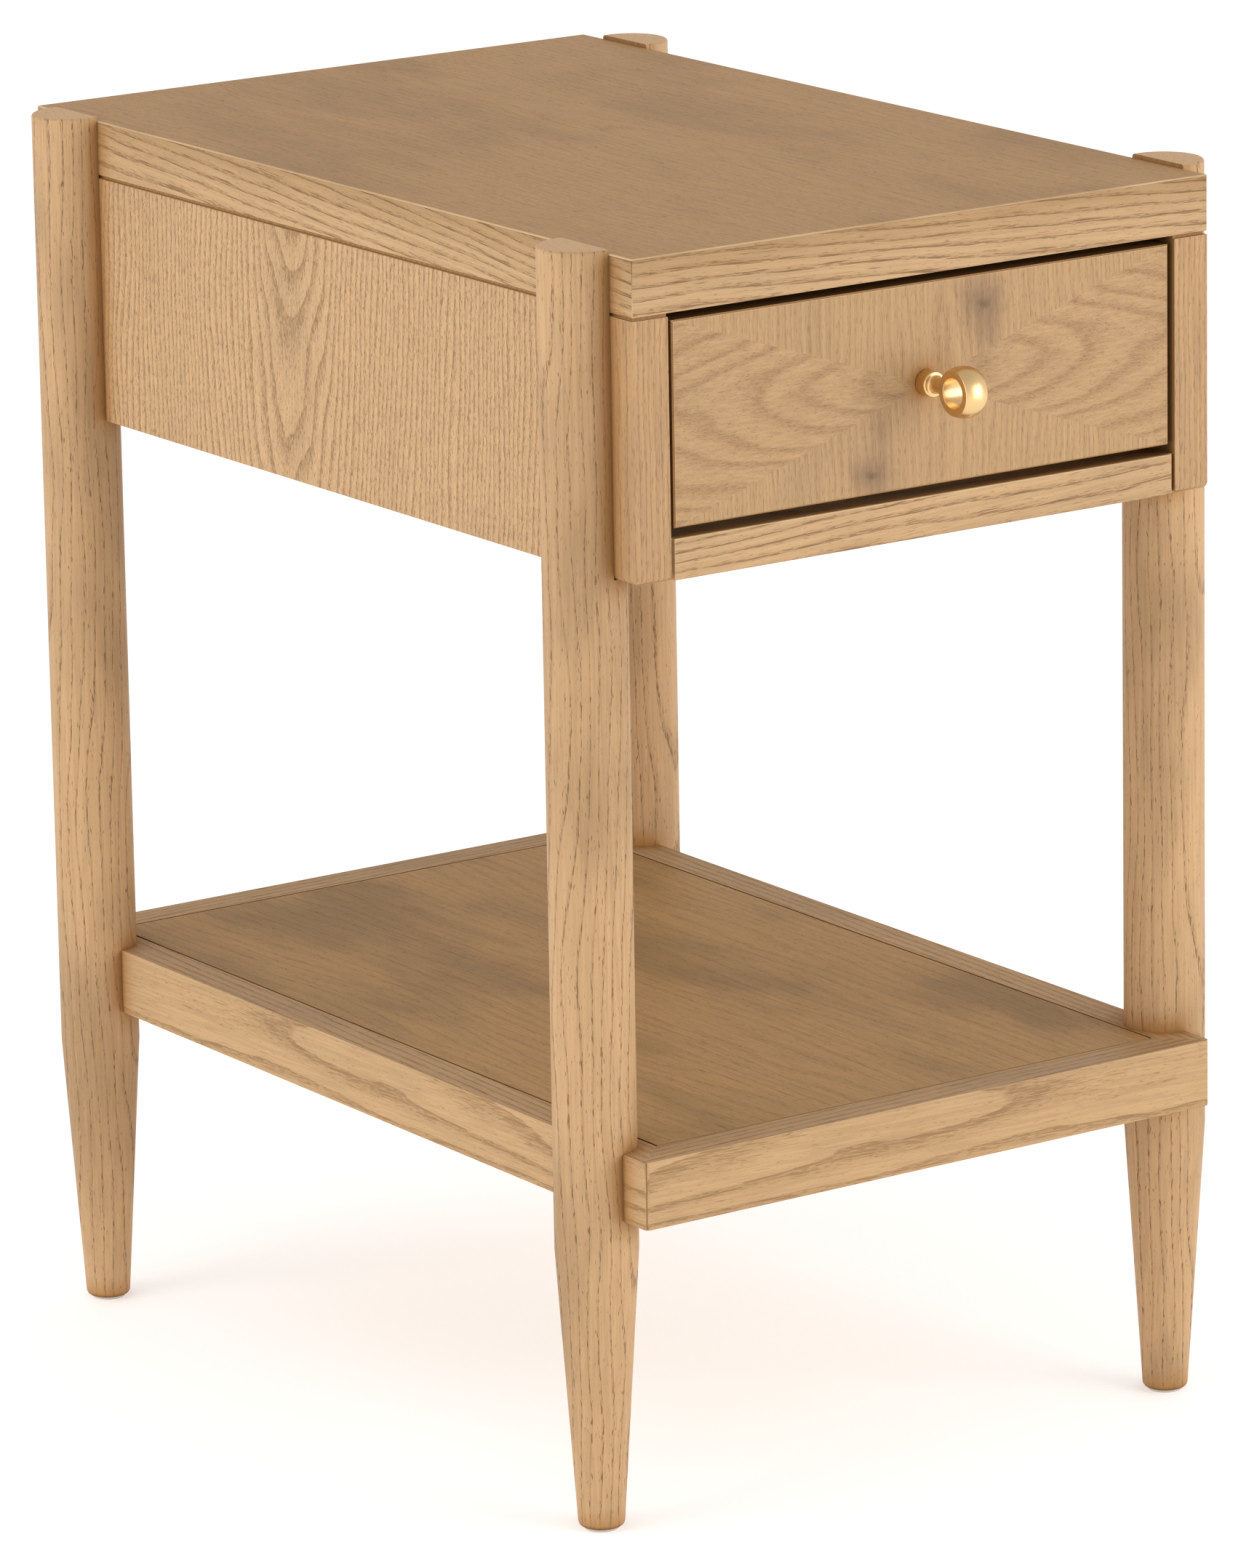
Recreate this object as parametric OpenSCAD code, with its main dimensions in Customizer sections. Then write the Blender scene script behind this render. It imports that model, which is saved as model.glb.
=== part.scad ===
// Side table with one drawer and a lower shelf, in millimetres.
// Seen from the front, +X is right, -Y is towards the person and +Z is up.
// The origin is on the floor, under the middle of the whole table with its knob.

/* [Overall] */
// Height from the floor to the tops of the legs
overall_h = 635; // [600:1:680]
// Width between the flat side faces of the case, the top and the shelf
case_w = 342; // [320:2:400]
// Depth of the case, the top and the shelf
case_d = 538; // [520:2:600]

/* [Legs] */
// Diameter of the straight part of a leg
leg_d = 41; // [38:1:46]
// Diameter of a leg at the floor
foot_d = 23; // [18:1:30]
// Height at which the taper of a leg begins
taper_h = 142; // [100:2:156]
// Distance from the front or back face to a leg's centre line
leg_setback = 38.8; // [34:0.2:40]
// How far a leg's centre line stands outside the side face
leg_outset = 3; // [0:0.5:4]
// How far a leg's top stands above the table top
leg_proud = 2; // [1:0.5:4]
// Radius of the round on a leg's top edge
leg_top_round = 1.5; // [0.5:0.5:2]
// Radius of the round on a leg's foot
foot_round = 3; // [1:0.5:4]

/* [Table top] */
// Thickness of the table top
top_t = 28; // [24:1:34]
// Thickness of the face veneer
veneer_t = 0.8; // [0.6:0.1:1.2]
// Width of the solid edge bands
band_w = 20; // [14:1:30]

/* [Case] */
// Height of the case below the table top
case_h = 129; // [120:0.5:150]
// Width of a corner post's front face, and the thickness of the side panels
post_w = 20.3; // [18:0.1:20.4]
// Depth of a corner post along the side
post_d = 58; // [56:0.5:60]
// Height of the shadow groove under the table top
shadow_h = 1.8; // [1:0.1:3]
// Depth of the shadow groove
shadow_d = 1.5; // [1:0.1:3]
// Height of the rail under the drawer
rail_h = 20.2; // [18:0.1:26]
// Depth of the rail under the drawer
rail_d = 30; // [24:1:32]
// Width of the small groove at each end of that rail
kerf_w = 1.8; // [1:0.1:3]
// Thickness of the back panel
back_t = 18; // [12:1:20]
// Width of the two stretchers that hold the table top
stretcher_w = 50; // [40:1:70]
// Thickness of those stretchers
stretcher_t = 11; // [9:0.5:11]

/* [Drawer] */
// Gap between the drawer front and each post
gap_side = 2.9; // [2:0.1:4]
// Gap between the drawer front and the table top
gap_top = 4.2; // [3:0.1:5]
// Gap between the drawer front and the rail
gap_bottom = 4.7; // [3:0.1:5]
// How far the drawer front sits behind the posts' front faces
front_recess = 1.2; // [0.5:0.1:2]
// Thickness of the drawer front
front_t = 19; // [16:1:20]
// Chamfer round the drawer front's face
front_chamfer = 0.8; // [0.4:0.1:1.5]
// Length of the drawer box
box_l = 440; // [420:1:460]
// Height of the drawer box
box_h = 80; // [70:1:80]
// Thickness of the drawer box's walls
box_t = 12; // [10:1:14]
// Thickness of the drawer bottom
bottom_t = 5; // [4:0.5:6]
// Height of the drawer bottom's groove above the box's lower edge
bottom_up = 6; // [5:0.5:10]
// Depth of that groove
groove_in = 6; // [4:0.5:7]

/* [Drawer slides] */
// Side space that one slide fills
slide_w = 12.7; // [12.7:0.1:13.5]
// Height of the fixed member
slide_h = 45; // [42:1:46]
// Length of each member
slide_l = 400; // [350:10:400]
// Thickness of the slide's steel
steel_t = 1.2; // [1:0.1:1.4]
// Running gap between two members
slide_gap = 0.5; // [0.4:0.1:0.6]

/* [Shelf] */
// Height of the shelf's upper face
shelf_z = 193.5; // [190:0.5:220]
// Height of the shelf frame
shelf_h = 33.8; // [28:0.1:34]
// Width of the shelf frame's rails
shelf_rail_w = 20.4; // [20.4:0.1:26]
// How far the shelf's outline lies outside the top's outline
shelf_outset = 0.8; // [0:0.1:1]
// Thickness of the shelf's inner panel
panel_t = 18; // [15:1:19]
// Width of the groove between the panel and the frame
groove_w = 1.3; // [0.8:0.1:2]
// Depth of that groove
groove_d = 2.5; // [1:0.5:4]

/* [Knob] */
// Diameter of the knob's foot
knob_foot_d = 12.8; // [11:0.1:14]
// Length of the straight part of that foot
knob_foot_l = 6.6; // [5:0.1:8]
// Diameter of the knob's neck
knob_neck_d = 8; // [7:0.1:9]
// Height of the knob above the middle of the drawer front
knob_rise = 1; // [0:0.1:3]
// Diameter of the ball that the ring is cut from
ring_d = 25.4; // [24:0.1:27]
// Diameter of the hole in the ring
ring_bore = 15.2; // [14:0.1:17]
// Length of the ring along its hole
ring_l = 12.8; // [11:0.1:15]
// Distance from the drawer front to the ring's centre
ring_reach = 30; // [28:0.1:34]

/* [Hardware] */
// Diameter of the dowels
dowel_d = 8; // [6:1:8]
// Diameter of the leg bolts
bolt_d = 6; // [5:0.5:7]
// Diameter of the wood screws
screw_d = 4; // [3.5:0.5:5]
// Diameter of a foot glide
glide_d = 17; // [12:1:18]
// Height of a foot glide below the leg
glide_h = 1.2; // [1:0.1:2]

/* [Hidden] */

LEFT = -1;
RIGHT = 1;
FRONT = -1;
BACK = 1;
ROUND = 96;
SMALL_ROUND = 48;
EPS = 0.01;
ARC_STEPS = 6;

OAK = "burlywood";
OAK_DARK = "tan";
PLY = "wheat";
STEEL = "silver";
BRASS = "goldenrod";
NYLON = "dimgray";

leg_r = leg_d / 2;
foot_r = foot_d / 2;
half_w = case_w / 2;
half_d = case_d / 2;
leg_x = half_w + leg_outset;
leg_y = half_d - leg_setback;

// The knob reaches out in front, so the case sits half that reach behind the origin.
knob_reach = ring_reach + ring_d / 2 - front_recess;
case_y = knob_reach / 2;

top_z = overall_h - leg_proud;
case_top = top_z - top_t;
case_z = case_top - case_h;
inner_x = half_w - post_w;
rail_top = case_z + rail_h;

drawer_y = -half_d + front_recess;
front_w = 2 * (inner_x - gap_side);
front_z = rail_top + gap_bottom;
front_h = case_top - gap_top - front_z;
knob_z = front_z + front_h / 2 + knob_rise;

box_y = drawer_y + front_t;
box_lift = 4;
box_z = front_z + box_lift;
box_w = 2 * (inner_x - slide_w);
groove_z = box_z + bottom_up;

slide_z = box_z + box_h / 2;
slide_start = 4;
slide_y = box_y + slide_start;
// A slide has a fixed channel on the case, a middle channel and an inner channel on the drawer.
middle_h = slide_h - 2 * (steel_t + slide_gap);
inner_h = middle_h - 2 * (steel_t + slide_gap);
outer_lip_gap = 4;
middle_lip_gap = 2.5;
inner_lip_in = 5;

shelf_w = case_w + 2 * shelf_outset;
shelf_d = case_d + 2 * shelf_outset;
panel_w = shelf_w - 2 * shelf_rail_w;
panel_d = shelf_d - 2 * shelf_rail_w;

stretcher_z = case_top - stretcher_t;
stretcher_in = 2;
stretcher_front_y = box_y + stretcher_in;
stretcher_back_y = half_d - back_t - stretcher_w;

dowel_l = 50;
dowel_z = shelf_z - panel_t / 2;
rail_dowel_l = 30;
bolt_in_leg = 13;
bolt_head_d = 12;
bolt_head_t = 3;
bolt_zs = [case_z + 20, case_top - 17];
screw_head_d = 8;
screw_head_t = 2.5;
top_screw_in = 14;
top_screw_xs = [-110, 0, 110];
face_screw_in = 12;
face_screw_x = 100;
face_screw_dz = 25;
knob_screw_in = 6;
neck_in_ring = 2;
glide_pin_d = 4;
glide_pin_l = 12;

// Everything but the origin itself is drawn about the middle of the case.
module about_case() {
    translate([0, case_y, 0]) children();
}

// A box from its two opposite corners.
module block(low, high) {
    translate(low) cube(high - low);
}

// A rod along X from x0 to x1.
module rod_x(x0, x1, y, z, d) {
    translate([x0, y, z]) rotate([0, 90, 0]) cylinder(h = x1 - x0, d = d, $fn = SMALL_ROUND);
}

// A rod along Y from y0 to y1.
module rod_y(x, y0, y1, z, d) {
    translate([x, y0, z]) rotate([-90, 0, 0]) cylinder(h = y1 - y0, d = d, $fn = SMALL_ROUND);
}

// A rod along Z from z0 to z1.
module rod_z(x, y, z0, z1, d) {
    translate([x, y, z0]) cylinder(h = z1 - z0, d = d, $fn = SMALL_ROUND);
}

// One side of a mitred frame of outline w by d, b wide, from z0 to z1.
// "side" is 0 for the front, 1 for the right, 2 for the back and 3 for the left.
module mitred_rail(w, d, b, z0, z1, side) {
    run = side % 2 == 0 ? w : d;
    across = side % 2 == 0 ? d : w;
    rotate([0, 0, 90 * side])
        translate([0, 0, z0])
            linear_extrude(z1 - z0)
                polygon([
                    [-run / 2, -across / 2],
                    [run / 2, -across / 2],
                    [run / 2 - b, -across / 2 + b],
                    [-run / 2 + b, -across / 2 + b]
                ]);
}

// The table top: a core, four mitred edge bands and one veneer over them all.
module top_veneer() {
    color(OAK_DARK)
        about_case()
            block([-half_w, -half_d, top_z - veneer_t], [half_w, half_d, top_z]);
}

module top_core() {
    color(OAK_DARK)
        about_case()
            difference() {
                block([-half_w + band_w, -half_d + band_w, case_top],
                      [half_w - band_w, half_d - band_w, top_z - veneer_t]);
                top_screw_shanks();
            }
}

module top_edge(side) {
    color(OAK)
        about_case()
            mitred_rail(case_w, case_d, band_w, case_top, top_z - veneer_t, side);
}

// The groove that leaves a shadow line under the table top, cut into the outer faces.
module shadow_groove() {
    difference() {
        block([-half_w - 1, -half_d - 1, case_top - shadow_h], [half_w + 1, half_d + 1, case_top + 1]);
        block([-half_w + shadow_d, -half_d + shadow_d, case_top - shadow_h - 1],
              [half_w - shadow_d, half_d - shadow_d, case_top + 2]);
    }
}

// A corner post, drilled for its two leg bolts. Front posts also take a rail dowel.
module corner_post(sx, sy) {
    color(OAK)
        about_case()
            difference() {
                mirror([sx == LEFT ? 1 : 0, 0, 0])
                    mirror([0, sy == FRONT ? 1 : 0, 0])
                        block([inner_x, half_d - post_d, case_z], [half_w, half_d, case_top]);
                shadow_groove();
                leg_bolt_shanks(sx, sy);
                if (sy == FRONT) rail_dowel(sx);
            }
}

module side_panel(sx) {
    color(OAK_DARK)
        about_case()
            difference() {
                mirror([sx == LEFT ? 1 : 0, 0, 0])
                    block([inner_x, -half_d + post_d, case_z], [half_w, half_d - post_d, case_top]);
                shadow_groove();
            }
}

module back_panel() {
    color(OAK_DARK)
        about_case()
            difference() {
                block([-inner_x, half_d - back_t, case_z], [inner_x, half_d, case_top]);
                shadow_groove();
            }
}

// The rail under the drawer, with a narrow groove where its face meets each post.
module drawer_rail() {
    color(OAK)
        about_case()
            difference() {
                block([-inner_x, -half_d, case_z], [inner_x, -half_d + rail_d, rail_top]);
                for (sx = [LEFT, RIGHT]) {
                    block([sx * inner_x - kerf_w, -half_d - 1, case_z - 1],
                          [sx * inner_x + kerf_w, -half_d + kerf_w, rail_top + 1]);
                    rail_dowel(sx);
                }
            }
}

module rail_dowel(sx) {
    mid = sx * inner_x;
    rod_x(mid - rail_dowel_l / 2, mid + rail_dowel_l / 2, -half_d + rail_d / 2, case_z + rail_h / 2, dowel_d);
}

module rail_dowels() {
    color(PLY)
        about_case()
            for (sx = [LEFT, RIGHT]) rail_dowel(sx);
}

// The two stretchers between the side panels carry the screws of the table top.
module top_stretcher(y0) {
    color(PLY)
        about_case()
            difference() {
                block([-inner_x, y0, stretcher_z], [inner_x, y0 + stretcher_w, case_top]);
                top_screw_shanks();
            }
}

module top_screw_shanks() {
    for (x = top_screw_xs)
        for (y = [stretcher_front_y, stretcher_back_y])
            rod_z(x, y + stretcher_w / 2, stretcher_z - EPS, case_top + top_screw_in, screw_d);
}

module top_screws() {
    color(STEEL)
        about_case() {
            for (x = top_screw_xs)
                for (y = [stretcher_front_y, stretcher_back_y]) {
                    rod_z(x, y + stretcher_w / 2, stretcher_z - screw_head_t, stretcher_z, screw_head_d);
                    rod_z(x, y + stretcher_w / 2, stretcher_z - EPS, case_top + top_screw_in, screw_d);
                }
        }
}

// Outline of a turned leg, from its centre line out, with round arcs at the foot and at the top.
function arc(cx, cz, r, from, to) = [
    for (i = [0:ARC_STEPS])
        let (a = from + (to - from) * i / ARC_STEPS)
            [cx + r * cos(a), cz + r * sin(a)]
];

module leg_blank() {
    taper_angle = atan((leg_r - foot_r) / (taper_h - glide_h));
    rotate_extrude($fn = ROUND)
        polygon(concat(
            [[0, glide_h]],
            arc(foot_r - foot_round, glide_h + foot_round, foot_round, -90, -taper_angle),
            [[leg_r, taper_h]],
            arc(leg_r - leg_top_round, overall_h - leg_top_round, leg_top_round, 0, 90),
            [[0, overall_h]]
        ));
}

// A leg is fully round below the case. Beside the case its inner part is cut away flat,
// so it stands on the outside of the case as a half round, with a shoulder under the post.
module leg(sx, sy) {
    color(OAK)
        about_case()
            difference() {
                translate([sx * leg_x, sy * leg_y, 0]) leg_blank();
                mirror([sx == LEFT ? 1 : 0, 0, 0])
                    block([half_w - leg_d, sy * leg_y - leg_d, case_z],
                          [half_w, sy * leg_y + leg_d, overall_h + 1]);
                leg_bolt_shanks(sx, sy);
                shelf_dowel(sx, sy);
                glide_pin(sx, sy);
            }
}

// Two bolts per leg come from inside the case, through the post and into the half round.
module leg_bolt_shanks(sx, sy) {
    for (z = bolt_zs)
        mirror([sx == LEFT ? 1 : 0, 0, 0])
            rod_x(inner_x - EPS, half_w + bolt_in_leg, sy * leg_y, z, bolt_d);
}

module leg_bolts() {
    color(STEEL)
        about_case()
            for (sx = [LEFT, RIGHT])
                for (sy = [FRONT, BACK]) {
                    leg_bolt_shanks(sx, sy);
                    for (z = bolt_zs)
                        mirror([sx == LEFT ? 1 : 0, 0, 0])
                            rod_x(inner_x - bolt_head_t, inner_x, sy * leg_y, z, bolt_head_d);
                }
}

module glide_pin(sx, sy) {
    rod_z(sx * leg_x, sy * leg_y, glide_h - EPS, glide_h + glide_pin_l, glide_pin_d);
}

module foot_glides() {
    color(NYLON)
        about_case()
            for (sx = [LEFT, RIGHT])
                for (sy = [FRONT, BACK]) {
                    rod_z(sx * leg_x, sy * leg_y, 0, glide_h, glide_d);
                    glide_pin(sx, sy);
                }
}

// The shelf: a mitred frame that is cut round the legs, and a panel let in flush.
module shelf_rail(side) {
    color(OAK)
        about_case()
            difference() {
                mitred_rail(shelf_w, shelf_d, shelf_rail_w, shelf_z - shelf_h, shelf_z, side);
                if (side % 2 == 1) {
                    sx = side == 1 ? RIGHT : LEFT;
                    for (sy = [FRONT, BACK]) {
                        translate([sx * leg_x, sy * leg_y, shelf_z - shelf_h - 1])
                            cylinder(h = shelf_h + 2, d = leg_d, $fn = ROUND);
                        shelf_dowel(sx, sy);
                    }
                }
            }
}

module shelf_panel() {
    color(OAK_DARK)
        about_case()
            difference() {
                block([-panel_w / 2, -panel_d / 2, shelf_z - panel_t], [panel_w / 2, panel_d / 2, shelf_z]);
                difference() {
                    block([-panel_w / 2 - 1, -panel_d / 2 - 1, shelf_z - groove_d],
                          [panel_w / 2 + 1, panel_d / 2 + 1, shelf_z + 1]);
                    block([-panel_w / 2 + groove_w, -panel_d / 2 + groove_w, shelf_z - groove_d - 1],
                          [panel_w / 2 - groove_w, panel_d / 2 - groove_w, shelf_z + 2]);
                }
                for (sx = [LEFT, RIGHT])
                    for (sy = [FRONT, BACK]) shelf_dowel(sx, sy);
            }
}

// A dowel pins each leg to the shelf's panel through the frame.
module shelf_dowel(sx, sy) {
    mirror([sx == LEFT ? 1 : 0, 0, 0])
        rod_x(leg_x + dowel_d - dowel_l, leg_x + dowel_d, sy * leg_y, dowel_z, dowel_d);
}

module shelf_dowels() {
    color(PLY)
        about_case()
            for (sx = [LEFT, RIGHT])
                for (sy = [FRONT, BACK]) shelf_dowel(sx, sy);
}

// A channel section along Y: a web at x0 and two lips that reach to x1, h high in all.
module channel(x0, x1, h) {
    out = x1 > x0 ? 1 : -1;
    points = [
        [x0, -h / 2], [x1, -h / 2], [x1, -h / 2 + steel_t], [x0 + out * steel_t, -h / 2 + steel_t],
        [x0 + out * steel_t, h / 2 - steel_t], [x1, h / 2 - steel_t], [x1, h / 2], [x0, h / 2]
    ];
    translate([0, slide_y + slide_l, slide_z])
        rotate([90, 0, 0])
            linear_extrude(slide_l)
                polygon(points);
}

module slide_outer(sx) {
    color(STEEL)
        about_case()
            mirror([sx == LEFT ? 1 : 0, 0, 0])
                channel(inner_x, inner_x - slide_w + outer_lip_gap, slide_h);
}

module slide_middle(sx) {
    color(STEEL)
        about_case()
            mirror([sx == LEFT ? 1 : 0, 0, 0])
                channel(inner_x - steel_t - slide_gap, inner_x - slide_w + middle_lip_gap, middle_h);
}

module slide_inner(sx) {
    color(STEEL)
        about_case()
            mirror([sx == LEFT ? 1 : 0, 0, 0])
                channel(inner_x - slide_w, inner_x - inner_lip_in, inner_h);
}

// The drawer front, with a small chamfer round its face and a hole for the knob's screw.
module drawer_front() {
    c = front_chamfer;
    color(OAK_DARK)
        about_case()
            difference() {
                intersection() {
                    translate([-front_w / 2, 0, front_z])
                        linear_extrude(front_h)
                            polygon([
                                [0, box_y], [0, drawer_y + c], [c, drawer_y],
                                [front_w - c, drawer_y], [front_w, drawer_y + c], [front_w, box_y]
                            ]);
                    translate([-front_w / 2 - 1, 0, front_z])
                        rotate([90, 0, 90])
                            linear_extrude(front_w + 2)
                                polygon([
                                    [box_y, 0], [box_y, front_h], [drawer_y + c, front_h],
                                    [drawer_y, front_h - c], [drawer_y, c], [drawer_y + c, 0]
                                ]);
                }
                rod_y(0, drawer_y - 1, box_y + 1, knob_z, screw_d);
                face_screw_shanks();
            }
}

// The groove that the drawer bottom slides into, as a solid to cut from the four walls.
module bottom_slab() {
    block([-box_w / 2 + box_t - groove_in, box_y + box_t - groove_in, groove_z],
          [box_w / 2 - box_t + groove_in, box_y + box_l - box_t + groove_in, groove_z + bottom_t]);
}

module drawer_box_front() {
    color(PLY)
        about_case()
            difference() {
                block([-box_w / 2, box_y, box_z], [box_w / 2, box_y + box_t, box_z + box_h]);
                bottom_slab();
                rod_y(0, box_y - 1, box_y + box_t + 1, knob_z, 2 * screw_head_d);
                face_screw_shanks();
            }
}

module drawer_side(sx) {
    color(PLY)
        about_case()
            difference() {
                mirror([sx == LEFT ? 1 : 0, 0, 0])
                    block([box_w / 2 - box_t, box_y + box_t, box_z],
                          [box_w / 2, box_y + box_l - box_t, box_z + box_h]);
                bottom_slab();
            }
}

module drawer_back() {
    color(PLY)
        about_case()
            difference() {
                block([-box_w / 2, box_y + box_l - box_t, box_z], [box_w / 2, box_y + box_l, box_z + box_h]);
                bottom_slab();
            }
}

module drawer_bottom() {
    color(PLY)
        about_case()
            bottom_slab();
}

// Four screws hold the drawer front to the box from inside.
module face_screw_shanks() {
    for (sx = [LEFT, RIGHT])
        for (dz = [-face_screw_dz, face_screw_dz])
            rod_y(sx * face_screw_x, box_y - face_screw_in, box_y + box_t + EPS, slide_z + dz, screw_d);
}

module drawer_front_screws() {
    color(STEEL)
        about_case() {
            face_screw_shanks();
            for (sx = [LEFT, RIGHT])
                for (dz = [-face_screw_dz, face_screw_dz])
                    rod_y(sx * face_screw_x, box_y + box_t, box_y + box_t + screw_head_t,
                          slide_z + dz, screw_head_d);
        }
}

// The knob's stem, turned about Y: a straight foot, a bead, a hollow neck and a flare
// whose end is cut to the ring's own outside, so that the two meet face to face.
module knob_stem() {
    foot = knob_foot_d / 2;
    neck = knob_neck_d / 2;
    back_edge = 0.4;
    bead_r = 1;
    hollow_r = foot - neck;
    neck_end = ring_reach - ring_d / 2 + neck_in_ring;
    color(BRASS)
        about_case()
            difference() {
                translate([0, drawer_y, knob_z])
                    rotate([90, 0, 0])
                        rotate_extrude($fn = SMALL_ROUND)
                            polygon(concat(
                                [[0, 0], [foot - back_edge, 0], [foot, back_edge]],
                                arc(foot - bead_r, knob_foot_l, bead_r, 0, 90),
                                arc(foot - bead_r, knob_foot_l + bead_r + hollow_r - bead_r,
                                    hollow_r - bead_r, -90, -180),
                                [[neck, neck_end], [0, neck_end]]
                            ));
                ring_axis() sphere(d = ring_d, $fn = ROUND);
                rod_y(0, drawer_y - knob_screw_in, drawer_y + 1, knob_z, screw_d);
            }
}

// Puts a shape's Z axis on the ring's axis, which runs along X.
module ring_axis() {
    translate([0, drawer_y - ring_reach, knob_z]) rotate([0, 90, 0]) children();
}

// The knob's ring: a ball with two flat sides and a hole between them.
module knob_ring() {
    color(BRASS)
        about_case()
            ring_axis()
                difference() {
                    intersection() {
                        sphere(d = ring_d, $fn = ROUND);
                        cylinder(h = ring_l, d = ring_d + EPS, center = true, $fn = ROUND);
                    }
                    cylinder(h = 2 * ring_l, d = ring_bore, center = true, $fn = ROUND);
                }
}

module knob_screw() {
    color(STEEL)
        about_case() {
            rod_y(0, drawer_y - knob_screw_in, box_y + EPS, knob_z, screw_d);
            rod_y(0, box_y, box_y + screw_head_t, knob_z, screw_head_d);
        }
}

top_veneer();
top_core();
top_edge(0);  // top_edge_front
top_edge(1);  // top_edge_right
top_edge(2);  // top_edge_back
top_edge(3);  // top_edge_left
corner_post(LEFT, FRONT);  // front_post_left
corner_post(RIGHT, FRONT);  // front_post_right
corner_post(LEFT, BACK);  // back_post_left
corner_post(RIGHT, BACK);  // back_post_right
side_panel(LEFT);  // side_panel_left
side_panel(RIGHT);  // side_panel_right
back_panel();
drawer_rail();
rail_dowels();
top_stretcher(stretcher_front_y);  // top_stretcher_front
top_stretcher(stretcher_back_y);  // top_stretcher_back
top_screws();
leg(LEFT, FRONT);  // leg_front_left
leg(RIGHT, FRONT);  // leg_front_right
leg(LEFT, BACK);  // leg_back_left
leg(RIGHT, BACK);  // leg_back_right
leg_bolts();
foot_glides();
shelf_panel();
shelf_rail(0);  // shelf_rail_front
shelf_rail(1);  // shelf_rail_right
shelf_rail(2);  // shelf_rail_back
shelf_rail(3);  // shelf_rail_left
shelf_dowels();
slide_outer(LEFT);  // slide_outer_left
slide_outer(RIGHT);  // slide_outer_right
slide_middle(LEFT);  // slide_middle_left
slide_middle(RIGHT);  // slide_middle_right
slide_inner(LEFT);  // slide_inner_left
slide_inner(RIGHT);  // slide_inner_right
drawer_front();
drawer_box_front();
drawer_side(LEFT);  // drawer_side_left
drawer_side(RIGHT);  // drawer_side_right
drawer_back();
drawer_bottom();
drawer_front_screws();
knob_stem();
knob_ring();
knob_screw();
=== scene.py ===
# %% [markdown]
# # A side table in light oak
#
# This lesson dresses an oak side table. Its engineering model is already made: every board, leg, screw and
# slide is there, at its real size. What it lacks is what the eye and the hand notice: soft edges, the run of
# the grain, open pores, wear and a painted highlight on the corners, and the glow of satin brass. We add
# those here, and we never move a part.

# %% Load the frame
import math

import bmesh
import bpy
from mathutils import Matrix, Vector


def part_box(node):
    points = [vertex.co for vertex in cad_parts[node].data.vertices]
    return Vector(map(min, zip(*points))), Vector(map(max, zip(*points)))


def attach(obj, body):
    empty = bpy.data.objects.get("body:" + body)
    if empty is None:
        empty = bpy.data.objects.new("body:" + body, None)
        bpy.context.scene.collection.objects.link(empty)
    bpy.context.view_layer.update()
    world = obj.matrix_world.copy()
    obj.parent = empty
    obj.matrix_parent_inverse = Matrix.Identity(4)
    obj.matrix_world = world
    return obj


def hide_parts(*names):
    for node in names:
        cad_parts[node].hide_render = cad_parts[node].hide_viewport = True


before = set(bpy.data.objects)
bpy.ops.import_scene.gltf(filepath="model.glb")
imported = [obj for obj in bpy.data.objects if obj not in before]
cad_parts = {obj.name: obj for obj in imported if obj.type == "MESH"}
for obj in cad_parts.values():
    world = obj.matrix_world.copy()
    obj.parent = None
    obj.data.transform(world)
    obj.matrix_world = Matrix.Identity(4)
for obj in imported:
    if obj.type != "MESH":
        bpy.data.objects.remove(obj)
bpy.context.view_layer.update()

# %% [markdown]
# ## The camera
#
# Furniture is photographed from far away with a long lens, so that its upright lines stay almost upright and
# its proportions stay true. We stand over four metres off, with the lens about 1.4 metres above the floor,
# and look past the front left leg. We aim above the table's middle and shift the lens down a little, which
# brings the feet into the picture. So the camera tilts less, and the legs lean together less.

# %% Set the camera
MM = 0.001
CAMERA_TURN, CAMERA_RISE, CAMERA_ROLL = (math.radians(a) for a in (-34.47, 13.31, -0.97))
CAMERA_DISTANCE = 4.362
CAMERA_LENS = 196.6
CAMERA_SHIFT = -0.116
AIM_RIGHT, AIM_BACK, AIM_HEIGHT = 0.0074, 0.0024, 0.3923

middle_y = sum(corner.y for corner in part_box("shelf_panel")) / 2
camera_aim = Vector((AIM_RIGHT, middle_y + AIM_BACK, AIM_HEIGHT))

towards_camera = Vector((
    math.sin(CAMERA_TURN) * math.cos(CAMERA_RISE),
    -math.cos(CAMERA_TURN) * math.cos(CAMERA_RISE),
    math.sin(CAMERA_RISE),
))
camera_data = bpy.data.cameras.new("studio_camera")
camera_data.lens = CAMERA_LENS
camera_data.shift_y = CAMERA_SHIFT
camera = bpy.data.objects.new("studio_camera", camera_data)
bpy.context.scene.collection.objects.link(camera)
facing = (-towards_camera).to_track_quat("-Z", "Y")
camera.rotation_mode = "QUATERNION"
camera.rotation_quaternion = facing @ Matrix.Rotation(CAMERA_ROLL, 4, "Z").to_quaternion()
camera.location = camera_aim + towards_camera * CAMERA_DISTANCE
bpy.context.scene.camera = camera
print("the camera stands at", [round(v, 2) for v in camera.location])

# %% [markdown]
# ## The studio
#
# A light table is usual for furniture of this size: a white floor that glows a little, so that the ground
# stays white and the undersides aren't black. Two large soft boxes stand low, one on the left and one in
# front, and the room above is dimmer. So upright faces are brighter than the top, both flanks of a round leg
# are lit, and its middle is a touch darker.

# %% Make the floor, the room and the lights
scene = bpy.context.scene
scene.view_settings.view_transform = "Standard"

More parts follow.
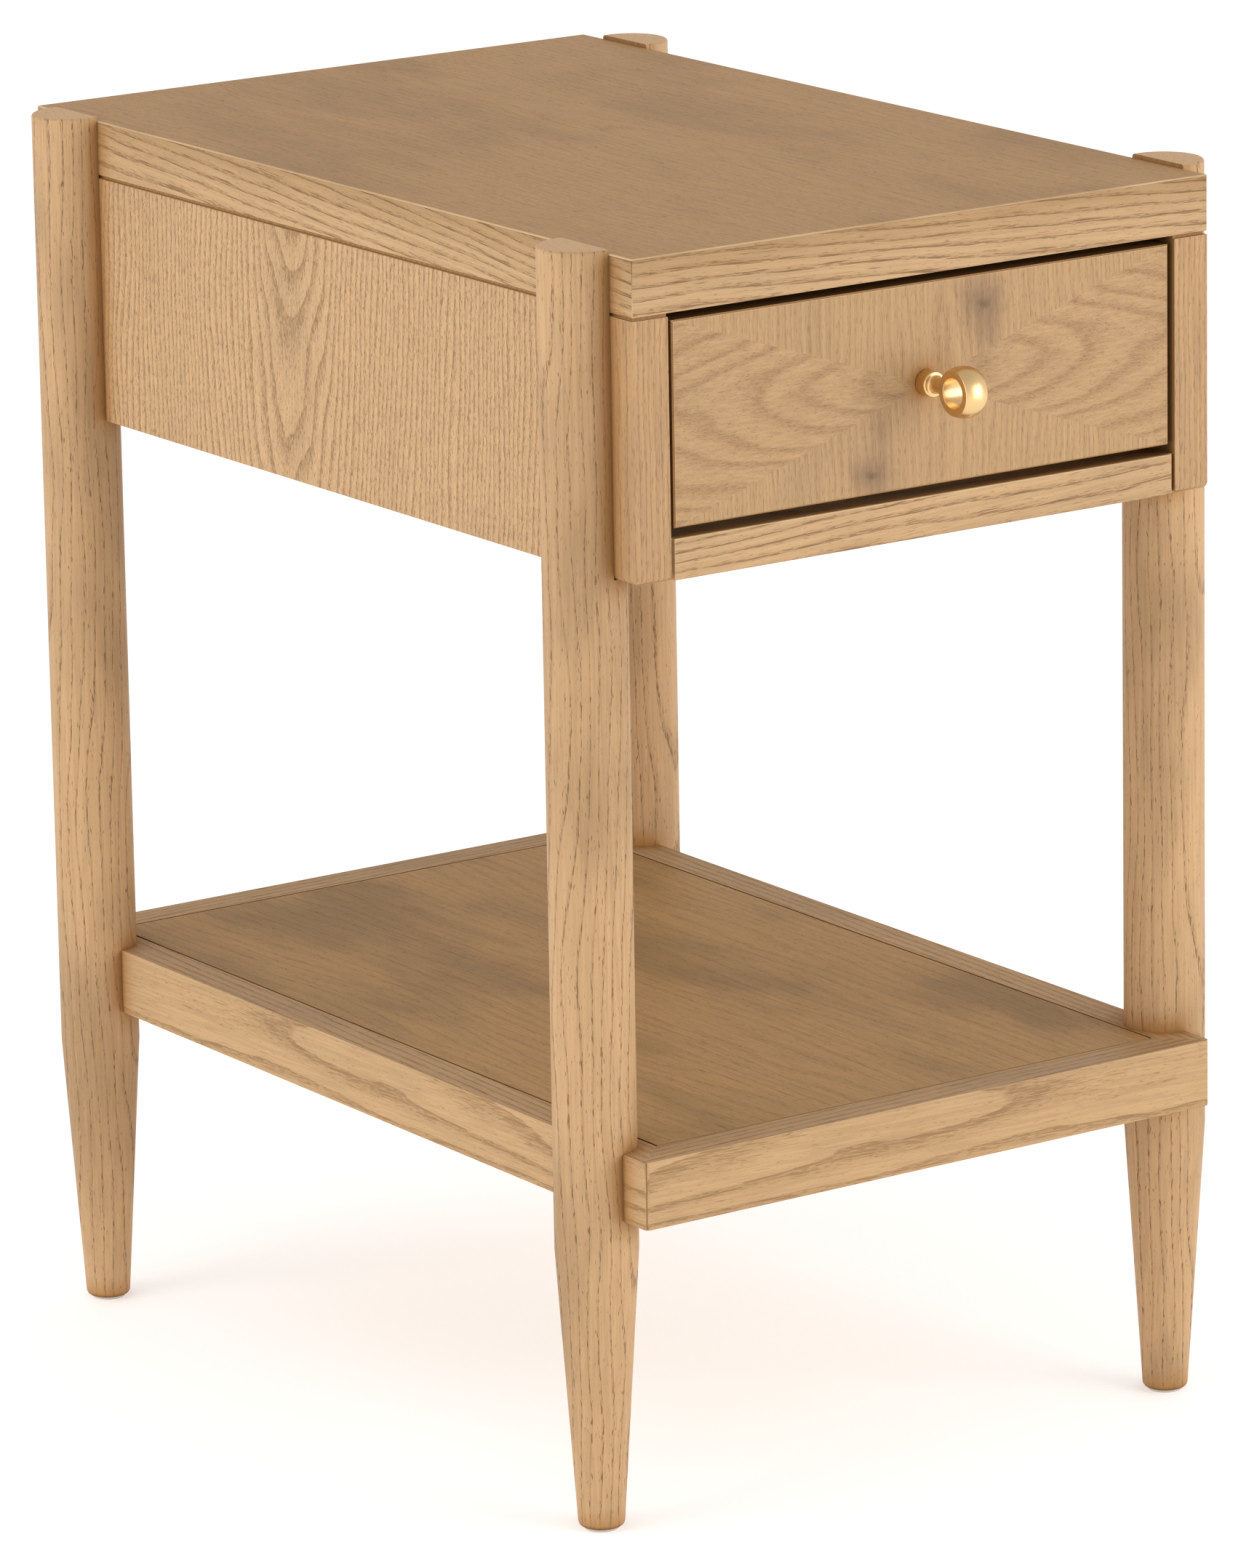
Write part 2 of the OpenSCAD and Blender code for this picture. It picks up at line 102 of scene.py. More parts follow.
FLOOR_SIZE = 30.0
FLOOR_GLOW = 0.4
ROOM_AT_HORIZON = 1.0
ROOM_ABOVE = 0.62
LEFT_WATTS = 36
RIGHT_WATTS = 41
BOX_SIZE = 2.0
LEFT_PLACE = (-3.0, 0.4, 0.95)
RIGHT_PLACE = (1.5, -2.7, 0.95)
FLOOR_WHITE = (0.85, 0.85, 0.85, 1)

floor_mesh = bmesh.new()
bmesh.ops.create_grid(floor_mesh, x_segments=1, y_segments=1, size=FLOOR_SIZE)
floor_data = bpy.data.meshes.new("floor")
floor_mesh.to_mesh(floor_data)
floor_mesh.free()
floor = bpy.data.objects.new("floor", floor_data)
scene.collection.objects.link(floor)

floor_paint = bpy.data.materials.new("pale_floor")
floor_paint.use_nodes = True
floor_shader = floor_paint.node_tree.nodes["Principled BSDF"]
floor_shader.inputs["Base Color"].default_value = FLOOR_WHITE
floor_shader.inputs["Roughness"].default_value = 0.9
floor_shader.inputs["Specular IOR Level"].default_value = 0.1
floor_shader.inputs["Emission Color"].default_value = (1, 1, 1, 1)
floor_shader.inputs["Emission Strength"].default_value = FLOOR_GLOW
floor_data.materials.append(floor_paint)

room = bpy.data.worlds.new("white_room")
room.use_nodes = True
room_nodes = room.node_tree.nodes
room_links = room.node_tree.links
looking = room_nodes.new("ShaderNodeTexCoord")
split_looking = room_nodes.new("ShaderNodeSeparateXYZ")
by_height = room_nodes.new("ShaderNodeMapRange")
by_height.inputs["To Min"].default_value = ROOM_AT_HORIZON
by_height.inputs["To Max"].default_value = ROOM_ABOVE
room_links.new(looking.outputs["Generated"], split_looking.inputs[0])
room_links.new(split_looking.outputs["Z"], by_height.inputs["Value"])
room_links.new(by_height.outputs["Result"], room_nodes["Background"].inputs["Strength"])
room_nodes["Background"].inputs["Color"].default_value = (1, 1, 1, 1)
scene.world = room


def soft_box(name, place, size, watts):
    """A square area light that looks where the camera looks."""
    data = bpy.data.lights.new(name, "AREA")
    data.shape = "SQUARE"
    data.size = size
    data.energy = watts
    light = bpy.data.objects.new(name, data)
    light.location = place
    light.rotation_mode = "QUATERNION"
    light.rotation_quaternion = (camera_aim - Vector(place)).to_track_quat("-Z", "Y")
    scene.collection.objects.link(light)


soft_box("left_box", LEFT_PLACE, BOX_SIZE, LEFT_WATTS)
soft_box("right_box", RIGHT_PLACE, BOX_SIZE, RIGHT_WATTS)

# %% [markdown]
# ## How oak is drawn
#
# A tree lays down one ring a year. In oak the wood of spring is full of wide pores and the wood of summer is
# dense, so a cut board shows each ring as a band of dark pore dashes beside a smooth band. We can grow that
# in the shader: take each point's distance from the heart of the tree, fold it into rings, and scatter long
# thin pores that crowd where a ring begins. Because the pattern fills space, it runs correctly over every
# edge: straight on a quarter-sawn face, in arches on a flat-sawn one, and in rows of dashes on a turned leg.
#
# The pattern works in *wood space*, in metres: X runs along the grain, and the tree's heart is the X axis.

# %% Small helpers for node trees
def add(tree, kind, inputs=None, **settings):
    """Adds a shader node, sets its options, and links or sets its inputs."""
    made = tree.nodes.new(kind)
    for key, value in settings.items():
        setattr(made, key, value)
    for key, value in (inputs or {}).items():
        if isinstance(value, bpy.types.NodeSocket):
            tree.links.new(value, made.inputs[key])
        else:
            made.inputs[key].default_value = value
    return made


def maths(tree, operation, a, b=0.0, c=0.0):
    """One Math node. Each operand is a number or a socket."""
    return add(tree, "ShaderNodeMath", {0: a, 1: b, 2: c}, operation=operation).outputs[0]


def step(tree, value, low, high, to_low=0.0, to_high=1.0):
    """A smooth step: to_low below low, to_high above high."""
    made = add(tree, "ShaderNodeMapRange", interpolation_type="SMOOTHSTEP")
    for key, given in zip(("Value", "From Min", "From Max", "To Min", "To Max"),
                          (value, low, high, to_low, to_high)):
        if isinstance(given, bpy.types.NodeSocket):
            tree.links.new(given, made.inputs[key])
        else:
            made.inputs[key].default_value = given
    return made.outputs[0]


def scaled(tree, vector, factors):
    """A vector times three factors."""
    return add(tree, "ShaderNodeVectorMath", {0: vector, 1: factors}, operation="MULTIPLY").outputs[0]


def blend(tree, amount, first, second, how="MIX"):
    """Mixes two colours. Each is a socket or a colour."""
    made = add(tree, "ShaderNodeMix", data_type="RGBA", blend_type=how)
    for index, given in ((0, amount), (6, first), (7, second)):
        if isinstance(given, bpy.types.NodeSocket):
            tree.links.new(given, made.inputs[index])
        else:
            made.inputs[index].default_value = given
    return made.outputs[2]


def srgb(red, green, blue):
    """A colour from the usual 0 to 255 scale to the linear one that shaders use."""
    def linear(value):
        value /= 255
        return value / 12.92 if value <= 0.04045 else ((value + 0.055) / 1.055) ** 2.4
    return (linear(red), linear(green), linear(blue), 1.0)


print("mid grey, 128, is", round(srgb(128, 128, 128)[0], 3), "on the linear scale")

# %% [markdown]
# ## Rings, pores, fibre and clouds
#
# All the oak in this table grows from one node group. Each recipe only tells it how wide the rings are, how
# wavy, and how thickly the dashes are sown. A noise that is squeezed more across the grain than along it
# gives dashes, and the size of the squeeze says how long and how thin they are.

# %% Grow the rings and the pores
GROWTH_INPUTS = ("Ring Gap", "Waviness", "Spring Share", "Spring Edge",
                 "Streak Share", "Streak Pull", "Pore Share", "Pore Pull")
GROWTH_SIZES = ("Streak Size", "Pore Size")
GROWTH_OUTPUTS = ("Spring", "Streaks", "Pores", "Fibre", "Cloud")
BEND_SIZE, TREMBLE_SIZE = (3.5, 16, 16), (28, 160, 160)
FIBRE_SIZE, CLOUD_SIZE = (20, 700, 700), (7, 18, 18)
TREMBLE = 0.0016
DASH_STARTS, DASH_IS_FULL = 0.98, 1.1


def grow_oak():
    """The node group that turns a place in wood space into rings, pores, fibre and clouds."""
    tree = bpy.data.node_groups.new("oak_growth", "ShaderNodeTree")
    for name in ("Vector", *GROWTH_SIZES):
        tree.interface.new_socket(name, in_out="INPUT", socket_type="NodeSocketVector")
    for name in GROWTH_INPUTS:
        tree.interface.new_socket(name, in_out="INPUT", socket_type="NodeSocketFloat")
    for name in GROWTH_OUTPUTS:
        tree.interface.new_socket(name, in_out="OUTPUT", socket_type="NodeSocketFloat")
    given = tree.nodes.new("NodeGroupInput").outputs
    place = given["Vector"]

    def noise(stretch, detail=0.0):
        """Soft noise in wood space, stretched along the grain."""
        return add(tree, "ShaderNodeTexNoise",
                   {"Vector": scaled(tree, place, stretch), "Scale": 1.0, "Detail": detail}).outputs[0]

    # A trunk is never straight: slow waves bend the rings, and small ones make their lines tremble.
    slow = maths(tree, "SUBTRACT", noise(BEND_SIZE, 2.0), 0.5)
    bend = maths(tree, "MULTIPLY", slow, given["Waviness"])
    small = maths(tree, "SUBTRACT", noise(TREMBLE_SIZE, 2.0), 0.5)
    tremble = maths(tree, "MULTIPLY", small, TREMBLE)
    split = add(tree, "ShaderNodeSeparateXYZ", {0: place}).outputs
    across_squared = maths(tree, "MULTIPLY", split[1], split[1])
    radius = maths(tree, "SQRT", maths(tree, "MULTIPLY_ADD", split[2], split[2], across_squared))
    radius = maths(tree, "ADD", radius, maths(tree, "ADD", bend, tremble))
    ring = maths(tree, "FRACT", maths(tree, "DIVIDE", radius, given["Ring Gap"]))

    # Spring wood starts sharply at the ring's edge and fades out over the first part of the year.
    fade = step(tree, ring, 0.0, given["Spring Share"], 1.0, 0.0)
    spring = maths(tree, "MULTIPLY", fade, step(tree, ring, 0.0, given["Spring Edge"]))

    def dashes(stretch, share, pull):
        """Long thin dashes along the grain, more of them in spring wood."""
        value = maths(tree, "MULTIPLY_ADD", spring, pull, noise(stretch, 1.0))
        value = maths(tree, "ADD", value, share)
        return step(tree, value, DASH_STARTS, DASH_IS_FULL)

    streaks = dashes(given["Streak Size"], given["Streak Share"], given["Streak Pull"])
    pores = dashes(given["Pore Size"], given["Pore Share"], given["Pore Pull"])
    add(tree, "NodeGroupOutput", {
        "Spring": spring, "Streaks": streaks, "Pores": pores,
        "Fibre": noise(FIBRE_SIZE, 3.0), "Cloud": noise(CLOUD_SIZE, 3.0)})
    return tree


oak_growth = grow_oak()
print("the oak group has", len(oak_growth.nodes), "nodes")

# %% [markdown]
# ## The finish
#
# This oak is stained lightly, glazed and sealed. The stain sinks into the pores and leaves them darker, the
# glaze stays in the seams, and rubbing takes both off the corners. So the colour has five parts: the wood,
# its pores, grey-brown clouds, glaze and a rubbed edge. An ambient occlusion node finds the seams and
# corners between parts, because little light from the open air reaches them, and darkens them: partly glaze,
# partly painted shade. The rubbed edge comes from the shape: the tool that rounds an edge also writes on its
# new faces how worn they are, and the shader reads that as an attribute. It is lighter: partly wear, partly
# a painted highlight.
#
# Veneer and solid wood take stain differently. The veneer that faces up, on the top and the shelf, is calmer
# and greyer than the solid edges and legs, and darker than the upright veneered panels, which is partly
# painted shade on these upward faces; so each has a recipe of its own.

# %% Recipes for the woods
# The glaze colour and the darker seam colour below are painted into seams and corners between parts: partly
# glaze, partly painted shade.
SOLID = {
    "light": srgb(185, 151, 111), "dark": srgb(168, 133, 94), "pore": srgb(114, 85, 59),
    "cloud": srgb(160, 130, 97), "glaze_and_shade": srgb(158, 108, 50), "shaded_seam": srgb(88, 60, 36),
    "end": srgb(176, 140, 96),
    "streak_depth": 0.75, "pore_depth": 0.5, "cloud_depth": 0.4, "specular": 0.12, "tone": 0.7,
    "ring_gap": 0.0046, "waviness": 0.018, "spring_share": 0.6, "spring_edge": 0.06,
    "streak_share": 0.315, "streak_pull": 0.2, "pore_share": 0.34, "pore_pull": 0.18,
    "streak_size": (40, 1400, 1400), "pore_size": (190, 1900, 1900),
}
LEG = dict(SOLID, light=srgb(188, 152, 112), dark=srgb(164, 129, 91), tone=0.7, ring_gap=0.0052,
           spring_share=0.32, streak_share=0.318, streak_pull=0.21, pore_share=0.32, pore_pull=0.1,
           streak_depth=0.8, pore_depth=0.35, streak_size=(210, 1500, 1500), waviness=0.04,
           cloud=srgb(152, 121, 87), cloud_depth=0.65, end=srgb(208, 166, 120))
# The veneer of the top and the shelf: calmer than the solid wood, and darker than the upright veneer, partly
# as painted shade on these upward faces.
UPWARD_VENEER_AND_SHADE = dict(SOLID, light=srgb(181, 141, 96), dark=srgb(175, 134, 89), pore=srgb(132, 101, 68),
              cloud=srgb(156, 121, 82), streak_depth=0.25, pore_depth=0.5, cloud_depth=0.5,
              ring_gap=0.005, waviness=0.06, specular=0.05, spring_edge=0.3, tone=0.5, pore_pull=0.1,
              pore_share=0.37)
FACE = dict(SOLID, light=srgb(189, 154, 114), dark=srgb(162, 126, 89), streak_depth=0.55, pore_depth=0.65,
            cloud_depth=0.4, ring_gap=0.0042, waviness=0.035, spring_share=0.7, pore=srgb(118, 90, 62),
            streak_share=0.31, streak_pull=0.18, pore_share=0.385, pore_pull=0.11, tone=0.6,
            streak_size=(110, 1500, 1500), pore_size=(210, 2200, 2200))
POST = dict(SOLID, light=srgb(182, 144, 103), dark=srgb(166, 128, 88), streak_depth=0.4, pore_depth=0.5,
            ring_gap=0.003, streak_share=0.28, pore_share=0.37, pore_pull=0.12)
SHELF_RAIL = dict(SOLID, streak_depth=0.5, pore_depth=0.4, ring_gap=0.0052, waviness=0.014, specular=0.05)
SHELF_PANEL = dict(UPWARD_VENEER_AND_SHADE, light=srgb(178, 140, 93), dark=srgb(165, 128, 83), pore=srgb(116, 89, 57),
                   cloud=srgb(143, 115, 77), streak_depth=0.35, pore_depth=0.45, tone=0.6, ring_gap=0.0075,
                   cloud_depth=0.7)
INSIDE = dict(SOLID, light=srgb(206, 178, 136), dark=srgb(196, 164, 120), pore=srgb(170, 136, 94),
              cloud=srgb(194, 165, 124), streak_depth=0.3, pore_depth=0.35)
# The rubbed edge colour: lighter, partly wear and partly a painted highlight on the arris.
RUBBED_AND_HIGHLIT = srgb(222, 190, 150)
RECIPES = (SOLID, LEG, UPWARD_VENEER_AND_SHADE, FACE, POST, SHELF_RAIL, SHELF_PANEL, INSIDE)
print("the oak starts with", len(RECIPES), "recipes")

# %% [markdown]
# ## Laying a board in the tree
#
# A plain board and an arched one are cut from the same trunk. What differs is how far the board lies from
# the tree's heart, and how much the trunk leans. So each piece says which way its grain runs, where its
# heart is, and its lean. One helper turns all three into wood space.

# %% Turn places into wood space
GRAIN_ORDER = {"X": (0, 1, 2), "Y": (1, 0, 2), "Z": (2, 0, 1)}


def wood_space(tree, grain, heart, lean):
    """Turns an object's own coordinates into wood space: the grain's axis first, and the heart at zero."""
    own = add(tree, "ShaderNodeTexCoord").outputs["Object"]
    split = add(tree, "ShaderNodeSeparateXYZ", {0: own}).outputs
    order = GRAIN_ORDER[grain]
    turned = add(tree, "ShaderNodeCombineXYZ", {i: split[axis] for i, axis in enumerate(order)})
    moved = add(tree, "ShaderNodeMapping", {"Vector": turned.outputs[0],
                                            "Location": [heart[axis] for axis in order],
                                            "Rotation": [math.radians(a) for a in (0, *lean)]},
                vector_type="TEXTURE")
    return moved.outputs[0]


print("grain can run along", ", ".join(GRAIN_ORDER))

# %% [markdown]
# ## Ends, rubbed and highlit edges, and knots
#
# Three marks lie over the grain. The cut end of a board has a colour of its own. A rubbed edge is lighter,
# partly from wear and partly as a painted highlight. A knot is drawn as a soft halo with a dark heart, and
# noise makes its outline ragged.

# %% The three marks
END_SHOWS = (0.75, 0.95)
KNOT_HALO = srgb(132, 106, 82)
KNOT_HEART = srgb(88, 70, 54)
RAGGEDNESS = 0.9


def end_grain(tree, grain):
    """1 where the surface is cut across the grain, and so takes the recipe's "end" colour."""
    normal = add(tree, "ShaderNodeTexCoord").outputs["Normal"]
    along = add(tree, "ShaderNodeSeparateXYZ", {0: normal}).outputs["XYZ".index(grain)]
    return step(tree, maths(tree, "ABSOLUTE", along), *END_SHOWS)


def worn_and_highlit(tree):
    """How much an arris is lightened, as wear and as a painted highlight. The piece's own attribute of the
    same name says where its arrises are.
    """
    return add(tree, "ShaderNodeAttribute", attribute_name="worn_and_highlit").outputs["Fac"]


def knot(tree, colour, place, radius, stretch, depth):
    """A small closed knot: a dark heart in a soft grey halo, at a place in the object's own coordinates."""
    own = add(tree, "ShaderNodeTexCoord").outputs["Object"]
    off = add(tree, "ShaderNodeVectorMath", {0: own, 1: place}, operation="SUBTRACT").outputs[0]
    off = scaled(tree, off, [1 / (radius * s) for s in stretch])
    ragged = add(tree, "ShaderNodeTexNoise", {"Vector": off, "Scale": 1.6, "Detail": 2.0}).outputs[0]
    away = add(tree, "ShaderNodeVectorMath", {0: off}, operation="LENGTH").outputs["Value"]
    away = maths(tree, "MULTIPLY_ADD", ragged, RAGGEDNESS, maths(tree, "SUBTRACT", away, RAGGEDNESS / 2))
    halo = step(tree, away, 0.05, 1.0, depth, 0.0)
    heart = step(tree, away, -0.1, 0.2, depth * depth, 0.0)
    colour = blend(tree, halo, colour, KNOT_HALO)
    return blend(tree, heart, colour, KNOT_HEART)


print("a knot's outline wanders by up to", RAGGEDNESS / 2, "of its radius")

# %% [markdown]
# ## Wiring the oak
#
# The colour is laid on in the order in which a finisher works: wood, clouds, pores, glaze in the seams with
# painted shade, and last the rubbing that takes it off the edges, with a painted highlight. Each pair of
# numbers below says where a step begins and where it is complete, and a second pair says what it goes from
# and to. Pores are hollow and rougher than lacquer.

# %% Colour, gloss and relief
# Ambient occlusion darkens seams and corners between parts within this reach: partly glaze, partly painted
# shade.
GLAZE_AND_SHADE_REACH = 14 * MM
GLAZE_AND_SHADE_BY_AIR = (0.5, 1.0, 0.85, 0.0)
SEAM_SHADE_BY_AIR = (0.2, 0.45, 0.85, 0.0)
CLOUD_SHOWS = (0.45, 0.7)
FIBRE_SHADE = (0.25, 0.75, 0.9, 1.08)
# How strongly rubbed edges are lightened, patchy with the clouds: wear and a painted highlight.
RUBBING_AND_HIGHLIGHT = (0.35, 0.65, 0.9, 0.5)
END_DEPTH = 0.8
LACQUER_ROUGHNESS, FIBRE_ROUGHNESS, PORE_ROUGHNESS = 0.42, 0.12, 0.25
FIBRE_RELIEF, PORE_DEEP = 0.3, 0.0003


def oak_shader(material, vector, recipe, grain=None, marks=(), **grown_with):
    """Wires the oak's colour, gloss and relief into a material, at places given in wood space."""
    tree = material.node_tree
    shader = tree.nodes["Principled BSDF"]
    growth = add(tree, "ShaderNodeGroup", node_tree=oak_growth)
    tree.links.new(vector, growth.inputs["Vector"])
    for name in GROWTH_INPUTS + GROWTH_SIZES:
        key = name.lower().replace(" ", "_")
        given = grown_with.get(key, recipe[key])
        if isinstance(given, bpy.types.NodeSocket):
            tree.links.new(given, growth.inputs[name])
        else:
            growth.inputs[name].default_value = given
    grown = growth.outputs

    tone = maths(tree, "MULTIPLY", grown["Spring"], grown_with.get("tone", recipe["tone"]))
    colour = blend(tree, tone, recipe["light"], recipe["dark"])
    patch = step(tree, grown["Cloud"], *CLOUD_SHOWS)
    colour = blend(tree, maths(tree, "MULTIPLY", patch, recipe["cloud_depth"]), colour, recipe["cloud"])
    for mark in marks:
        colour = knot(tree, colour, *mark)
    deep = maths(tree, "MULTIPLY", grown["Streaks"], recipe["streak_depth"])
    fine = maths(tree, "MULTIPLY", grown["Pores"], recipe["pore_depth"])
    hollow = maths(tree, "MAXIMUM", deep, fine)
    colour = blend(tree, hollow, colour, recipe["pore"])
    shade = step(tree, grown["Fibre"], *FIBRE_SHADE)
    shaded = add(tree, "ShaderNodeCombineColor", {0: shade, 1: shade, 2: shade}).outputs[0]
    colour = blend(tree, 1.0, colour, shaded, "MULTIPLY")
    # Painted shade with glaze: where ambient occlusion finds little open air, in seams and corners, the
    # colour turns to the glaze colour and then to the dark seam colour.
    open_air = add(tree, "ShaderNodeAmbientOcclusion", {"Distance": GLAZE_AND_SHADE_REACH}, samples=4).outputs["AO"]
    colour = blend(tree, step(tree, open_air, *GLAZE_AND_SHADE_BY_AIR), colour, recipe["glaze_and_shade"])
    colour = blend(tree, step(tree, open_air, *SEAM_SHADE_BY_AIR), colour, recipe["shaded_seam"])
    if grain:
        cut_across = maths(tree, "MULTIPLY", end_grain(tree, grain), END_DEPTH)
        colour = blend(tree, cut_across, colour, recipe["end"])
    # Rubbed edges are lightened towards a pale colour: partly wear, partly a painted highlight.
    rubbed_and_highlit = maths(tree, "MULTIPLY", worn_and_highlit(tree), step(tree, grown["Cloud"], *RUBBING_AND_HIGHLIGHT))
    colour = blend(tree, rubbed_and_highlit, colour, RUBBED_AND_HIGHLIT)
    tree.links.new(colour, shader.inputs["Base Color"])

    lacquer = maths(tree, "MULTIPLY_ADD", grown["Fibre"], FIBRE_ROUGHNESS, LACQUER_ROUGHNESS)
    gloss = maths(tree, "MULTIPLY_ADD", hollow, PORE_ROUGHNESS, lacquer)
    tree.links.new(gloss, shader.inputs["Roughness"])
    height = maths(tree, "SUBTRACT", maths(tree, "MULTIPLY", grown["Fibre"], FIBRE_RELIEF), hollow)
    relief = add(tree, "ShaderNodeBump", {"Height": height, "Strength": 0.35, "Distance": PORE_DEEP})
    tree.links.new(relief.outputs[0], shader.inputs["Normal"])
    shader.inputs["Specular IOR Level"].default_value = recipe["specular"]


def oak(name, recipe, grain, heart, lean=(0, 0), **grown_with):
    """An oak material. "heart" is a point in the middle of the tree, and "lean" tilts it, in degrees."""
    material = bpy.data.materials.new(name)
    material.use_nodes = True
    vector = wood_space(material.node_tree, grain, heart, lean)
    oak_shader(material, vector, recipe, grain, **grown_with)
    return material


print("the glaze reaches", round(GLAZE_AND_SHADE_REACH / MM), "mm from a seam")

# %% [markdown]
# ## From a machined part to a made one
#
# The engineering model has perfectly sharp edges, and nothing made of wood has those: a plane, sandpaper and
# a few years of hands take them off. We keep the part and its size, copy its mesh, join the loose triangles,
# dissolve the flat ones into whole faces, and bevel the edges. On an outer edge a bevel only takes material
# away, so the part keeps its size and fits its neighbours, and it leaves the thin line that a real joint
# has. In an inner corner it adds a sliver, no wider than the bevel.

# %% A helper that softens a part
FLAT = math.radians(1)
LEVEL = 0.1
# Edges facing up are lightened most and those facing down not at all: wear, and a painted highlight where
# light falls on upper arrises.
HIGHLIGHT_AND_WEAR_ABOVE, HIGHLIGHT_AND_WEAR_UPRIGHT, HIGHLIGHT_AND_WEAR_BELOW = 1.0, 0.4, 0.0


def part_mesh(node):
    """A clean copy of an engineering part's mesh."""
    mesh = bmesh.new()
    mesh.from_mesh(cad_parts[node].data)
    bmesh.ops.remove_doubles(mesh, verts=mesh.verts, dist=0.005 * MM)
    bmesh.ops.dissolve_limit(mesh, angle_limit=FLAT, verts=mesh.verts, edges=mesh.edges)
    return mesh


def soften(mesh, width, segments=3, which=None, sharper_than=35, wear_and_highlight=1.0):
    """Rounds the sharp edges that "which" picks, and marks how much their faces are lightened: wear, and a
    painted highlight strongest on upper edges.
    """
    highlight_and_wear_layer = mesh.faces.layers.float.get("worn_and_highlit") or mesh.faces.layers.float.new("worn_and_highlit")
    edges = []
    for edge in mesh.edges:
        if len(edge.link_faces) == 2 and edge.calc_face_angle(0) > math.radians(sharper_than):
            if which is None or which(edge):
                edges.append(edge)
    made = bmesh.ops.bevel(mesh, geom=edges, offset=width, offset_type="OFFSET", segments=segments,
                           profile=0.5, affect="EDGES", clamp_overlap=True, material=-1, loop_slide=True)
    for face in made["faces"]:
        face.normal_update()
        up = face.normal.z
        rubbing_and_highlight = HIGHLIGHT_AND_WEAR_ABOVE if up > LEVEL else HIGHLIGHT_AND_WEAR_UPRIGHT if up > -LEVEL else HIGHLIGHT_AND_WEAR_BELOW
        face[highlight_and_wear_layer] = wear_and_highlight * rubbing_and_highlight
    return len(edges)


def finish_piece(name, mesh, material, node, body):
    """Makes the visible piece from its mesh, and lets it stand for its part."""
    bmesh.ops.recalc_face_normals(mesh, faces=mesh.faces)
    data = bpy.data.meshes.new(name)
    mesh.to_mesh(data)
    mesh.free()
    data.materials.append(material)
    data.shade_smooth()
    piece = bpy.data.objects.new(name, data)
    scene.collection.objects.link(piece)
    corners = piece.modifiers.new("flat faces stay flat", "WEIGHTED_NORMAL")
    corners.keep_sharp = True
    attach(piece, body)
    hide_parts(node)
    return piece


def soft_part(node, material, width=0.5 * MM, segments=2, which=None, body="table", wear_and_highlight=1.0):
    """A softened copy of a part, in its finish."""
    mesh = part_mesh(node)
    softened = soften(mesh, width, segments, which, wear_and_highlight=wear_and_highlight)
    print(f"{node}: {softened} edges softened, {len(mesh.faces)} faces")
    return finish_piece(node + "_wood", mesh, material, node, body)


print("upper edges are worn", HIGHLIGHT_AND_WEAR_ABOVE, "and upright ones", HIGHLIGHT_AND_WEAR_UPRIGHT)

# %% [markdown]
# ## The top
#
# The top is a stable core with a solid oak band on each side, mitred at the corners, under one sheet of
# veneer. The veneer's grain runs from front to back in calm arches. Each band's grain runs along the band,
# so it turns the corner at the mitre. The core is never seen, but it has a wood finish all the same.

# %% Veneer, bands and core of the top
top_low, top_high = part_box("top_veneer")
board_low, board_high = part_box("top_edge_front")
band_mid_z = (board_low.z + board_high.z) / 2
TOP_HEART_RIGHT, TOP_HEART_DEPTH = 0.02, 0.022
top_heart = (TOP_HEART_RIGHT, middle_y, top_high.z - TOP_HEART_DEPTH)
top_veneer_oak = oak("top_veneer_oak", UPWARD_VENEER_AND_SHADE, "Y", top_heart, lean=(2.2, 0.8))


def upper_arris(edge):
    """True for the edges of the veneer's upper face."""
    return all(vert.co.z > top_high.z - 0.1 * MM for vert in edge.verts)


soft_part("top_veneer", top_veneer_oak, width=0.7 * MM, segments=3, which=upper_arris)

BANDS = {"front": "X", "back": "X", "left": "Y", "right": "Y"}
BAND_LEAN = {"X": (2, 0.8), "Y": (-5, 1)}
BAND_HEART_ASIDE, BAND_HEART_BELOW, BAND_HEART_STEP = 0.03, -0.055, 0.004
MITRE_GROOVE = 0.25 * MM


def on_mitre(edge):
    """True where an edge borders a mitre, whose faces run slantwise."""
    return any(min(abs(face.normal.x), abs(face.normal.y)) > 0.5 for face in edge.link_faces)


def upright_mitre(edge):
    """True for the upright edge of a mitre, where two bands meet at a corner."""
    return on_mitre(edge) and abs(edge.verts[0].co.z - edge.verts[1].co.z) > 5 * MM


def lower_arris(edge):
    """True for a band's edges that neither the veneer nor the mitre covers."""
    return not on_mitre(edge) and not all(vert.co.z > board_high.z - 0.1 * MM for vert in edge.verts)


for number, (side, grain) in enumerate(BANDS.items()):
    low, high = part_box("top_edge_" + side)
    centre = (low + high) / 2
    below = BAND_HEART_BELOW - BAND_HEART_STEP * number
    band_heart = centre + Vector((BAND_HEART_ASIDE, BAND_HEART_ASIDE, below))
    band_oak = oak(f"top_{side}_band_oak", SOLID, grain, band_heart, lean=BAND_LEAN[grain])
    mesh = part_mesh("top_edge_" + side)
    soften(mesh, MITRE_GROOVE, 1, upright_mitre, wear_and_highlight=0.0)
    soften(mesh, 0.6 * MM, 2, lower_arris)
    finish_piece(f"top_edge_{side}_wood", mesh, band_oak, "top_edge_" + side, "table")

core_oak = oak("core_oak", INSIDE, "Y", (0, middle_y, band_mid_z - 0.04))
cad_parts["top_core"].data.materials[0] = core_oak

# %% [markdown]
# ## The case
#
# Four corner posts, two side panels, a back panel and a rail under the drawer make the case. The side panels
# are veneered with upright grain, and a flat-sawn leaf puts a tall arch near the middle of each. Posts are
# solid and straight-grained, because a stable post keeps the drawer's gap even.

